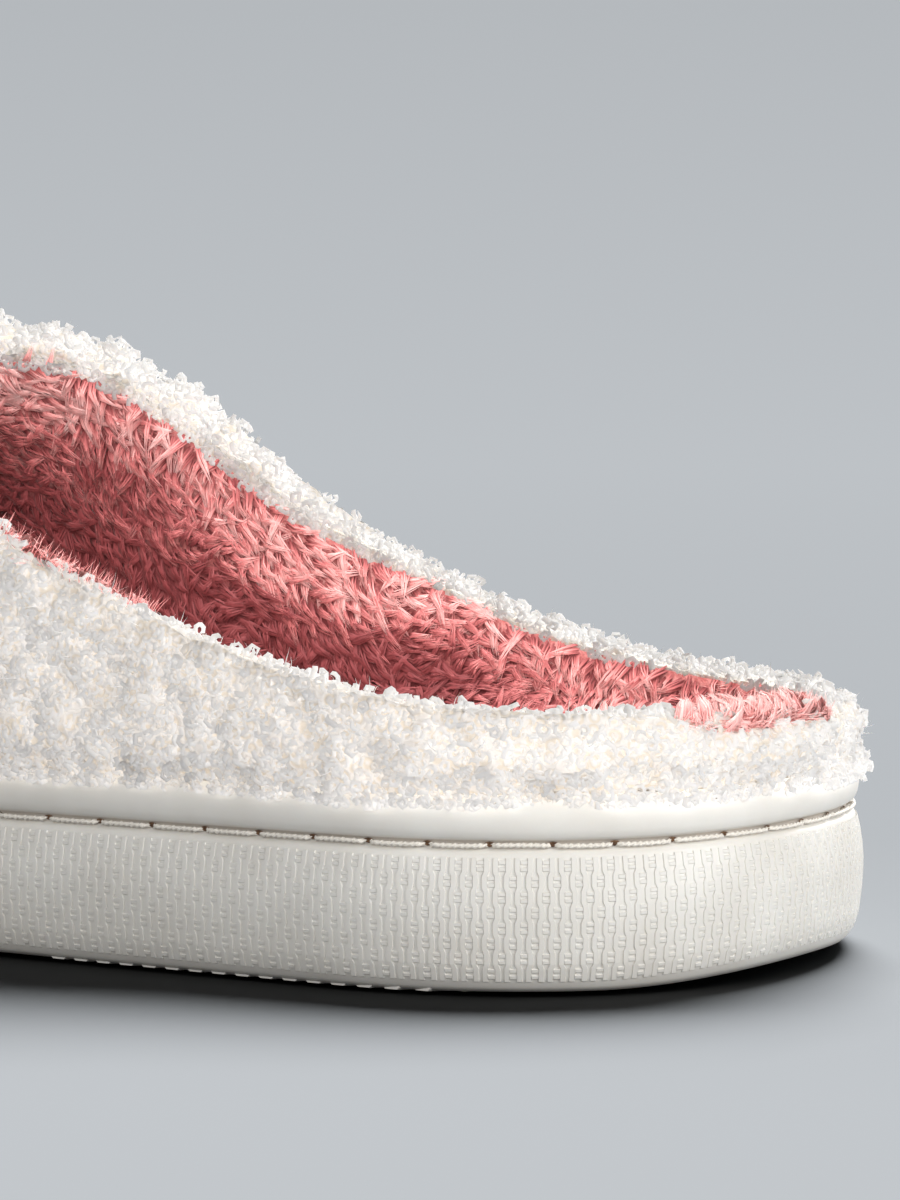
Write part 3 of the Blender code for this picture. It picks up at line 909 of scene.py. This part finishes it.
PileRow = namedtuple("PileRow", "length lift radius width")
FINE_PILE = PileRow(3.8, 1.2, 0.75, 0.2)
NEAR_PILE = PileRow(3.8, 1.2, 1.2, 0.32)
TOE_PILE = PileRow(5.0, 2.2, 2.5, 0.8)
FOOTBED_PILE = PileRow(3.6, 1.4, 1.7, 0.5)
LOCK_FIBRES = 16
LOCK_STRAY = 0.45  # how far the locks turn from the flow, in radians
LOCK_REACH, LOCK_RISE, LOCK_BEND = (0.65, 1.3), (0.6, 1.3), 0.3  # how the locks differ
LOCK_ARC = 2.4  # how far a lock's rise has come over at its tip, in radians
LOCK_LEAN = 1.25  # how late along its length a lock leans over
FIBRE_ENDS, FIBRE_TURN = (0.7, 1.1), 0.4  # how the fibres of a lock differ in length and in the way they face
LOCK_SHARES, LOCK_GATHER, LOCK_WIDTHS = (0.0, 0.5, 1.0), (1.0, 0.8, 0.4), (1.0, 0.9)
LOCK_TILT = (-0.2, 0.1, 0.4)  # of the shading along the flow, from root to tip
LOCK_ROUND, LOCK_SOFTNESS = 0.5, 1.0  # how far a lock's shading is rounded across it and follows the cloth
LOCK_TONE, FIBRE_TONE = 0.06, 0.06
FLUFF_REACH, FLUFF_RISE, FLUFF_ARC = 0.4, 0.3, 0.7  # plush that stands up is shorter, higher and less bent
FLUFF_EVEN, FLUFF_DEPTH_TONE = 0.65, 0.6  # it is also paler, with less of the roots' painted shade, and more even from root to tip


def locks(name, points, normals, flow, pile, standing=0.0, shade=0.0):
    """Plush pile: locks of fibres whose tips gather, leaning along the flow and curling over, or standing."""
    count = len(points)
    each = (count, LOCK_FIBRES, 1)
    flow = unit(flow - (flow * normals).sum(1, keepdims=True) * normals)
    side = np.cross(flow, normals)
    turn = rng.normal(0, LOCK_STRAY, (count, 1))
    flow, side = flow * np.cos(turn) + side * np.sin(turn), side * np.cos(turn) - flow * np.sin(turn)
    flow, side, up, foot = flow[:, None], side[:, None], normals[:, None], points[:, None]
    standing = np.broadcast_to(standing, count)[:, None, None]
    reach = pile.length * rng.uniform(*LOCK_REACH, (count, 1, 1)) * (1 - FLUFF_REACH * standing)
    rise = pile.lift * rng.uniform(*LOCK_RISE, (count, 1, 1)) * (1 + FLUFF_RISE * standing)
    bend = rng.normal(0, LOCK_BEND, (count, 1, 1)) * side
    around, out = rng.uniform(0, 2 * math.pi, each), np.sqrt(rng.random(each))
    away = out * (np.cos(around) * flow + np.sin(around) * side)
    ends = rng.uniform(*FIBRE_ENDS, each)
    path = []
    for share, gather in zip(LOCK_SHARES, LOCK_GATHER):
        at = share * ends
        lift = up * rise * np.sin((LOCK_ARC - FLUFF_ARC * standing) * at)
        curl = lift + flow * reach * at**LOCK_LEAN + bend * reach * at**2
        path.append(foot + away * pile.radius * gather + curl)
    root, middle, tip = path
    facing = up + rng.normal(0, FIBRE_TURN, (count, LOCK_FIBRES, 3))
    broad = unit(np.cross(tip - root, facing)) * pile.width / 2
    wide, slim = (broad * share for share in LOCK_WIDTHS)
    fibre = np.stack((root - wide, root + wide, middle - slim, middle + slim, tip), 2)
    tilt = np.array(LOCK_TILT)[RIBBON_ROWS][:, None]
    shading = (up * LOCK_SOFTNESS + away * LOCK_ROUND)[:, :, None] + flow[:, :, None] * tilt
    depth = np.array(LOCK_SHARES)[RIBBON_ROWS] * (1 - FLUFF_EVEN * standing) + FLUFF_DEPTH_TONE * standing
    tone = np.broadcast_to(shade, count) + rng.normal(0, LOCK_TONE, count)
    tone = tone[:, None] + rng.normal(0, FIBRE_TONE, (count, LOCK_FIBRES))
    made = piece(
        name,
        fibre.reshape(-1, 3),
        ribbon_faces(count * LOCK_FIBRES),
        PLUSH,
        normals=unit(shading).reshape(-1, 3),
        depth=np.repeat(depth, LOCK_FIBRES, axis=1).ravel(),
        tone=np.repeat(tone.ravel(), len(RIBBON_ROWS)),
    )


HairRow = namedtuple("HairRow", "length width shades")  # with its shades from root to tip
HEEL_FLUFF = HairRow(1.3, 0.07, (0.7, 0.9, 1.1))
FLEECE_FUZZ = HairRow(1.5, 0.1, (0.6, 0.9, 1.0))
RIM_FRIZZ = HairRow(1.5, 0.09, (0.4, 0.6, 0.75))
HAIR_STRAY, HAIR_REACH, HAIR_TONE = 0.5, (0.5, 1.3), 0.08  # how the hairs differ
HAIR_MIDDLE, HAIR_TIP = (0.6, 0.35), (0.75, 0.95)  # shares of the length off the cloth and along the flow
HAIR_TAPER = 0.8


def fibres(name, points, normals, flow, hair, material):
    """Single fibres that stand off the pile, thin ribbons bent along the flow, shaded from root to tip."""
    count = len(points)
    flow = unit(flow + rng.normal(0, HAIR_STRAY, (count, 3)))
    reach = hair.length * rng.uniform(*HAIR_REACH, (count, 1))
    half = unit(np.cross(flow, normals)) * hair.width / 2
    slim = half * HAIR_TAPER
    middle, tip = (points + (normals * off + flow * on) * reach for off, on in (HAIR_MIDDLE, HAIR_TIP))
    fibre = np.stack((points - half, points + half, middle - slim, middle + slim, tip), 1)
    depth = np.tile(np.array(hair.shades)[RIBBON_ROWS], count)
    tone = np.repeat(rng.normal(0, HAIR_TONE, count), len(RIBBON_ROWS))
    made = piece(name, fibre.reshape(-1, 3), ribbon_faces(count), material, depth=depth, tone=tone)


LOCK_SPACING, LOCK_SPACING_NEAR, FOOTBED_SPACING, DEEP_SPACING = 0.95, 1.5, 2.4, 5.0
DEEP_STATION = 165.0  # past this the inside of the toe is out of sight and carries a thinner pile
INSIDE_FACING = -0.35  # surfaces that face in more than this belong to the inside
LINING_FOOT = 14.0
FINE_HEEL = 26.0  # up to here the outer side's plush is as fine as the inner side's

# How far the fleece is turned in over the rim; less than nothing is plush that comes out over it
TurnRow = namedtuple("TurnRow", "station lateral medial")
TURN_IN = (
    TurnRow(0.0, -0.1, 0.5),
    TurnRow(4.0, -0.1, 0.4),
    TurnRow(7.0, 0.1, 0.4),
    TurnRow(10.0, 0.6, 0.4),
    TurnRow(15.5, 0.9, 0.4),
    TurnRow(24.0, 0.8, 0.4),
    TurnRow(34.0, 0.7, 0.4),
    TurnRow(55.0, 0.6, 0.5),
    TurnRow(74.0, 0.5, 0.5),
    TurnRow(86.0, -0.2, 1.2),
    TurnRow(104.0, -0.3, 2.4),
    TurnRow(114.0, 0.5, 3.2),
    TurnRow(138.0, 4.2, 4.2),
)
TURN_WAVE, TURN_WAVE_SIZE = 0.2, 3.0  # the line where they meet wanders a little
TURN_SPLIT, TURN_BLEND = 6.0, 10.0  # where, and over how much, the heel's back goes over from side to side
RIM_MIDDLE, RIM_BLEND = 0.1, 0.35  # outwardness at the rim's crest, and over how much the rim turns inwards


def past_turn(points, normals):
    """Distance inwards from the line where fleece and plush meet; less than nothing is fleece."""
    below = below_collar(points)
    inside = below * np.clip((RIM_MIDDLE - outwardness(points, normals)) / RIM_BLEND, -1.0, 1.0)
    lateral, medial = (smooth(TURN_IN, column, points[:, 1]) for column in ("lateral", "medial"))
    share = rising(points[:, 0], TURN_SPLIT - TURN_BLEND / 2, TURN_BLEND)
    wave = TURN_WAVE * clouds(points, TURN_WAVE_SIZE, seed=12.0)
    return inside - lateral * (1 - share) - medial * share + wave


PAINTED_SUNK_SHADE = 0.95  # how much darker the plush is painted deep inside: painted shade
SHADE_ACROSS, SHADE_RISE, SHADE_DEPTH = 44.0, 4.5, 9.0  # how the outer side's rim shades the lining across
SHADE_START, SHADE_FADE = 45.0, 40.0  # the open heel stays light


def shaded_share(points):
    """1 deep inside, where the outer side's rim keeps the light off the lining across from it."""
    rim = smooth(COLLAR, "lateral", points[:, 1] - SHADE_ACROSS)
    inside = rising(points[:, 1], SHADE_START, SHADE_FADE)
    return inside * falling(points[:, 2], rim + SHADE_RISE, SHADE_DEPTH)


ROLL_DEPTH, PAINTED_ROLL_SHADING = 6.5, 0.4  # the plush rolls over the throat's edge: painted light on top of it and painted shade under it
ROLL_SHARPNESS = 1.6
ROLL_LIGHT, ROLL_DARK, ROLL_FADE = 116.0, 92.0, 20.0  # stations where each starts, and how gently


def painted_roll_light_and_shade(points, normals):
    """Painted light on top of the plush's roll at the throat and painted shade under it, as a tone."""
    over = np.clip(ROLL_SHARPNESS * (1 - past_turn(points, normals) / ROLL_DEPTH), -1, 1)
    start = np.where(over > 0, ROLL_LIGHT, ROLL_DARK)
    return PAINTED_ROLL_SHADING * over * rising(points[:, 1], start, ROLL_FADE)


FLUFF_STATION, FLUFF_FADE, FLUFF_DEPTH = 36.0, 24.0, 4.0  # how far round the heel, and how deep, it stands up


def standing_share(points, normals):
    """1 where the plush stands up along the rim round the heel, 0 where it lies down."""
    back = falling(points[:, 1], FLUFF_STATION, FLUFF_FADE)
    return back * falling(past_turn(points, normals), FLUFF_DEPTH, FLUFF_DEPTH)


FLOW_IN, FLOW_BACK, FLOW_DOWN = 0.7, 0.4, 0.65
SWIRL, SWIRL_SIZE = 1.5, 14.0  # how far the pile swirls, in radians, and the width of a swirl


def drooping_flow(points, normals, seed):
    """Direction the pile lies: over the rim, inwards and down, a little towards the heel, swirled about."""
    middle = np.stack((np.zeros(len(points)), np.clip(points[:, 1], AXIS_BACK, AXIS_FRONT), points[:, 2]), 1)
    turned = np.clip((RIM_MIDDLE - outwardness(points, normals)) / RIM_BLEND, -1.0, 1.0)[:, None]
    down = FLOW_IN * unit(middle - points) - np.array((0.0, FLOW_BACK, 0.0)) - turned * (0.0, 0.0, FLOW_DOWN)
    down = unit(down - (down * normals).sum(1, keepdims=True) * normals)
    side = np.cross(normals, down)
    angle = SWIRL * clouds(points, SWIRL_SIZE, seed)[:, None]
    return down * np.cos(angle) + side * np.sin(angle)


PLUSH_OVERLAP = 0.1  # of the plush over the fleece's edge
PATCH_SIZE, PATCH_TONE = 4.0, 0.1  # lighter and darker patches where the pile is tumbled
FLUFF_SPACING = 0.22
FLUFF_FLOW = (-0.1, -0.1, 0.3)
FUZZ_SPACING = 1.2
FRIZZ_SPACING, FRIZZ_STRAY = 0.36, 0.8
FRIZZ_STATIONS, FRIZZ_REACH = (66.0, 124.0), 0.9  # plush fibres that stick out over the outer side's rim
HEM_TUCK, CURL_FOOT = -1.5, -0.2  # over the lip: from where the triangles, and the places on them, carry curls
THROAT_END, VAMP_END, HEEL_END = 170.0, 212.0, 80.0  # stations that part the fleece into pieces


def make_upper():
    """The fleece and lining on the upper's two faces: backings cut from its solid, with their pile."""
    corners, corner_normals, flat_normals = node_surface("upper")
    middle = corners.mean(1)
    across, station, height = middle.T

    ground, ground_normals = split(split(corners)), split(split(corner_normals))
    places = np.round(ground.reshape(-1, 3), 3)
    points, first, faces = np.unique(places, axis=0, return_index=True, return_inverse=True)
    normals = unit(ground_normals.reshape(-1, 3)[first])
    points = points + normals * tuft_height(points, normals)[:, None]
    faces = faces.reshape(-1, 3)
    fleece_side = past_turn(ground.mean(1), unit(ground_normals.mean(1))) < 0.0
    for name, chosen, material, slot in (
        ("fleece_backing", faces[fleece_side], FLEECE_GROUND, "white_fleece"),
        ("lining_backing", faces[~fleece_side], PLUSH_GROUND, "pink_plush"),
    ):
        used, chosen = np.unique(chosen, return_inverse=True)
        # the tone is painted shade deep inside, where the outer rim keeps light off
        tone = -PAINTED_SUNK_SHADE * shaded_share(points[used])
        backing = piece(name, points[used], chosen.reshape(-1, 3), material, tone=tone)
        if name == "fleece_backing":
            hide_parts("upper")

    over_lip = above_lip(middle)
    hem = (over_lip < HEM_HEIGHT) & (station < CURL_HEEL)
    back, front = RIM_STATIONS
    rim = (below_collar(middle) < RIM_DEPTH) & (across > 0.0) & (station > back) & (station < front)
    rest = ~hem & ~rim
    for name, low, high, spacing, shown in (
        ("hem", -math.inf, CURL_HEEL, CURL_SPACING_HEM, hem),
        ("rim", -math.inf, math.inf, CURL_SPACING_HEM, rim),
        ("heel", -math.inf, HEEL_END, CURL_SPACING_HEEL, rest),
        ("waist", HEEL_END, CURL_HEEL, CURL_SPACING_HEEL, rest),
        ("throat", CURL_HEEL, THROAT_END, CURL_SPACING, rest),
        ("vamp", THROAT_END, VAMP_END, CURL_SPACING_FRONT, rest),
        ("toe", VAMP_END, math.inf, CURL_SPACING_FRONT, rest),
    ):
        shown = shown & (over_lip > HEM_TUCK) & (station >= low) & (station < high)
        points, normals = scatter(corners[shown], corner_normals[shown], spacing)
        keep = (past_turn(points, normals) < 0.0) & (above_lip(points) > CURL_FOOT)
        steps = CURL_STEPS if high <= CURL_HEEL else CURL_STEPS_FRONT
        stand = STANDING_SHARE_RIM if name == "rim" else STANDING_SHARE
        curls(f"fleece_curls_{name}", points[keep], normals[keep], steps, stand)

    def spread(shown, spacing, low, high):
        """Points on chosen triangles, between two distances past the line where fleece and plush meet."""
        points, normals = scatter(corners[shown], corner_normals[shown], spacing)
        past = past_turn(points, normals)
        keep = (past > low) & (past < high)
        return points[keep], normals[keep]

    lining = (height > LINING_FOOT) & (station < DEEP_STATION)
    fine = (across > 0.0) & (station < THROAT) | (station < FINE_HEEL)
    for name, shown, spacing, pile in (
        ("lining_plush_inner", lining & fine, LOCK_SPACING, FINE_PILE),
        ("lining_plush_outer", lining & ~fine, LOCK_SPACING_NEAR, NEAR_PILE),
    ):
        points, normals = spread(shown, spacing, -PLUSH_OVERLAP, math.inf)
        flow = drooping_flow(points, normals, seed=3.0)
        # painted shade deep inside and painted light and shade on the throat's roll, over random patches of
        # tone
        shade = PATCH_TONE * clouds(points, PATCH_SIZE, seed=8.0) - PAINTED_SUNK_SHADE * shaded_share(points)
        shade = shade + painted_roll_light_and_shade(points, normals)
        locks(name, points, normals, flow, pile, standing_share(points, normals), shade)

    shown = (station < FLUFF_STATION) & (over_lip > 0.0)
    points, normals = spread(shown, FLUFF_SPACING, -PLUSH_OVERLAP, FLUFF_DEPTH)
    keep = rng.random(len(points)) < standing_share(points, normals)
    points, normals = points[keep], normals[keep]
    flow = np.tile(FLUFF_FLOW, (len(points), 1))
    fibres("heel_fluff", points, normals, flow, HEEL_FLUFF, PLUSH)

    shown = (over_lip > 0.0) & (station < CURL_HEEL)
    points, normals = spread(shown, FUZZ_SPACING, -math.inf, 0.0)
    points = points + normals * tuft_height(points, normals)[:, None]
    flow = unit(rng.normal(size=points.shape))
    fibres("fleece_fuzz", points, normals, flow, FLEECE_FUZZ, FLEECE)

    back, front = FRIZZ_STATIONS
    shown = (station > back) & (station < front) & (across < 0.0)
    points, normals = spread(shown, FRIZZ_SPACING, -FRIZZ_REACH, FRIZZ_REACH)
    flow = unit(normals + rng.normal(0, FRIZZ_STRAY, points.shape))
    fibres("rim_frizz", points, normals, flow, RIM_FRIZZ, PLUSH)

    inside = outwardness(middle, flat_normals) <= INSIDE_FACING
    shown = inside & (height > LINING_FOOT) & (station >= DEEP_STATION)
    points, normals = scatter(corners[shown], corner_normals[shown], DEEP_SPACING)
    locks("lining_plush_toe", points, normals, drooping_flow(points, normals, seed=5.0), TOE_PILE)


# Footbed

FOOTBED_ROWS = (
    SideRow(INSOLE_INSET + 1.2, CUP_FLOOR + GAP),
    SideRow(INSOLE_INSET, CUP_FLOOR + GAP + 1.2),
    SideRow(INSOLE_INSET, CUP_FLOOR + INSOLE_THICKNESS - 1.0),
    SideRow(INSOLE_INSET + 0.8, CUP_FLOOR + INSOLE_THICKNESS - 0.1),
    SideRow(INSOLE_INSET + 2.4, CUP_FLOOR + INSOLE_THICKNESS + 0.3),
    SideRow(INSOLE_INSET + 12.0, CUP_FLOOR + INSOLE_THICKNESS + 0.1),
)
FOOTBED_COLUMNS = 160
FOOTBED_UP = 0.7  # faces that turn up more than this are its top
FOOTBED_RAISE = 0.2  # of the pile's feet over the solid's top
FOOTBED_SWIRL_SIZE = 16.0


def make_footbed():
    """The padded footbed: a foam plate with rounded, slightly raised edges under a plush cover."""
    points, faces = closed_body(FOOTBED_ROWS, FOOTBED_COLUMNS)
    bed = piece("footbed", points, faces, PLUSH_GROUND)
    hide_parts("insole")

    corners, smooth_normals, flat_normals = node_surface("insole")
    top = (flat_normals[:, 2] > FOOTBED_UP) & (corners.mean(1)[:, 1] < DEEP_STATION)
    points, normals = scatter(corners[top], smooth_normals[top], FOOTBED_SPACING)
    points[:, 2] += FOOTBED_RAISE
    angle = SWIRL * clouds(points, FOOTBED_SWIRL_SIZE, seed=9.0)
    flow = np.stack((np.sin(angle), -np.cos(angle), np.zeros(len(angle))), 1)
    locks("footbed_plush", points, normals, flow, FOOTBED_PILE)


# Stage, light and camera

CAMERA_AIM = (-0.0036, -0.0858, 0.0410)
CAMERA_AZIMUTH, CAMERA_ELEVATION = math.radians(300.9), math.radians(4.6)
CAMERA_ROLL = math.radians(-0.14)
CAMERA_DISTANCE = 0.5815
LENS, PICTURE_SIDE = 148.0, 36.0


def make_camera():
    """The camera at the photograph's angle, from behind and to the left of the heel, low over the floor."""
    data = bpy.data.cameras.new("camera")
    data.sensor_fit = "VERTICAL"
    data.sensor_height = PICTURE_SIDE
    data.lens = LENS
    data.clip_start = 0.01
    camera = bpy.data.objects.new("camera", data)
    bpy.context.scene.collection.objects.link(camera)
    back = Vector(
        (
            math.sin(CAMERA_AZIMUTH) * math.cos(CAMERA_ELEVATION),
            -math.cos(CAMERA_AZIMUTH) * math.cos(CAMERA_ELEVATION),
            math.sin(CAMERA_ELEVATION),
        )
    )
    camera.location = Vector(CAMERA_AIM) + back * CAMERA_DISTANCE
    camera.rotation_euler = Euler((math.pi / 2 - CAMERA_ELEVATION, 0.0, CAMERA_AZIMUTH), "XYZ")
    camera.rotation_euler.rotate_axis("Z", CAMERA_ROLL)
    bpy.context.scene.camera = camera


HEADING = (-math.sin(CAMERA_AZIMUTH), math.cos(CAMERA_AZIMUTH), 0.0)  # along the floor, away from the camera
PAPER_NEAR, PAPER_FAR = -0.15, 3.0  # metres along this over which the ramp of the paper's grey runs
FLOOR_HALF_WIDTH, FLOOR_FRONT, FLOOR_BACK = 5.0, -3.0, 1.0  # metres
SWEEP_RADIUS, SWEEP_TURN, SWEEP_STEPS = 9.0, 0.7, 40


def matt_paper():
    """Grey studio paper: matt, with no shine at all, a little darker further back."""
    material, tree, shader = new_material("matt_paper")
    place = add(tree, "ShaderNodeTexCoord").outputs["Object"]
    depth = add(tree, "ShaderNodeVectorMath", {0: place, 1: HEADING}, operation="DOT_PRODUCT")
    grade = {"Value": depth.outputs["Value"], "From Min": PAPER_NEAR, "From Max": PAPER_FAR}
    grade = {"Fac": add(tree, "ShaderNodeMapRange", grade).outputs["Result"]}
    colour = add(tree, "ShaderNodeValToRGB", grade, stops=((0.0, "585A5C"), (0.063, "535557")))
    plug(tree, shader, {"Base Color": colour.outputs["Color"], "Roughness": 1.0, "Specular IOR Level": 0.0})
    return material


def make_stage():
    """A grey paper floor that sweeps gently up behind the slipper and lets lamps beyond it shine through."""
    turn = np.linspace(0, SWEEP_TURN, SWEEP_STEPS)
    depth = np.concatenate(((FLOOR_FRONT,), FLOOR_BACK + SWEEP_RADIUS * np.sin(turn)))
    height = np.concatenate(((0.0,), SWEEP_RADIUS * (1 - np.cos(turn))))
    heading = np.array(HEADING[:2])
    across = np.array((heading[1], -heading[0])) * FLOOR_HALF_WIDTH
    points = [
        (*(heading * away + across * side), up)
        for away, up in zip(depth.tolist(), height.tolist())
        for side in (-1, 1)
    ]
    faces = [(k, k + 1, k + 3, k + 2) for k in range(0, len(points) - 2, 2)]
    mesh = bpy.data.meshes.new("floor")
    mesh.from_pydata(points, [], faces)
    mesh.shade_smooth()
    mesh.materials.append(matt_paper())
    floor = bpy.data.objects.new("floor", mesh)
    bpy.context.scene.collection.objects.link(floor)
    floor.visible_shadow = False
    studio.objects.link(floor)


HEEL_AIM = (0.0, -0.08, 0.03)  # metres, as the lamps' places are
LampRow = namedtuple("LampRow", "name place aim size watts colour lit")
LAMPS = (
    LampRow("sweep", (20.5, 6.4, 25.0), (0.0, -0.05, 0.0), 24.0, 90000.0, "FFFFFF", studio),
    LampRow("back", (8.2, -0.4, 5.0), (0.0, -0.05, 0.0), 5.0, 740.0, "FFFFFF", slipper),
    LampRow("sole_heel", (-0.2, -2.2, 0.9), HEEL_AIM, 1.4, 36.5, "FFFDFA", sole_pieces),
    LampRow("sole_side", (-1.8, -0.6, 0.8), HEEL_AIM, 1.4, 18.0, "FFFDFA", sole_pieces),
    LampRow("fleece_heel", (0.5, -2.2, 1.1), HEEL_AIM, 1.4, 27.0, "FFFCF9", fleece_pieces),
    LampRow("fleece_side", (-1.4, -0.5, 1.9), HEEL_AIM, 1.4, 10.0, "FFFCF9", fleece_pieces),
    LampRow("fleece_low", (-1.55, -1.15, 0.02), HEEL_AIM, 1.2, 20.5, "FFFAF7", fleece_pieces),
    LampRow("fleece_front", (0.5, 2.4, 1.7), (0.0, 0.05, 0.03), 1.6, 16.0, "FFFCF9", fleece_pieces),
    LampRow("plush_side", (-1.7, -1.2, 0.3), HEEL_AIM, 1.0, 41.0, "FCF9F7", plush_pieces),
    LampRow("plush_top", (-0.9, -0.3, 1.3), HEEL_AIM, 2.0, 70.0, "FCF9F7", plush_pieces),
)
SKY, SKY_STRENGTH = "E9E4DE", 0.035


def make_lights():
    """Soft studio light: a lamp for the paper, a back light, lamps for cloths and rubber, a pale surround."""
    for row in LAMPS:
        data = bpy.data.lights.new(row.name, "AREA")
        data.shape = "DISK"
        data.size = row.size
        data.energy = row.watts
        data.color = linear(row.colour)[:3]
        lamp = bpy.data.objects.new(row.name, data)
        lamp.location = row.place
        lamp.rotation_euler = (Vector(row.aim) - Vector(row.place)).to_track_quat("-Z", "Y").to_euler()
        bpy.context.scene.collection.objects.link(lamp)
        lamp.light_linking.receiver_collection = row.lit
    world = bpy.data.worlds.new("surround")
    world.use_nodes = True
    sky = world.node_tree.nodes["Background"]
    sky.inputs["Color"].default_value = linear(SKY)
    sky.inputs["Strength"].default_value = SKY_STRENGTH
    bpy.context.scene.world = world
    bpy.context.scene.view_settings.view_transform = "Standard"


make_camera()
make_stage()
make_lights()
make_sole_body()
make_tread()
make_wall_weave()
make_groove_seam()
make_upper()
make_footbed()
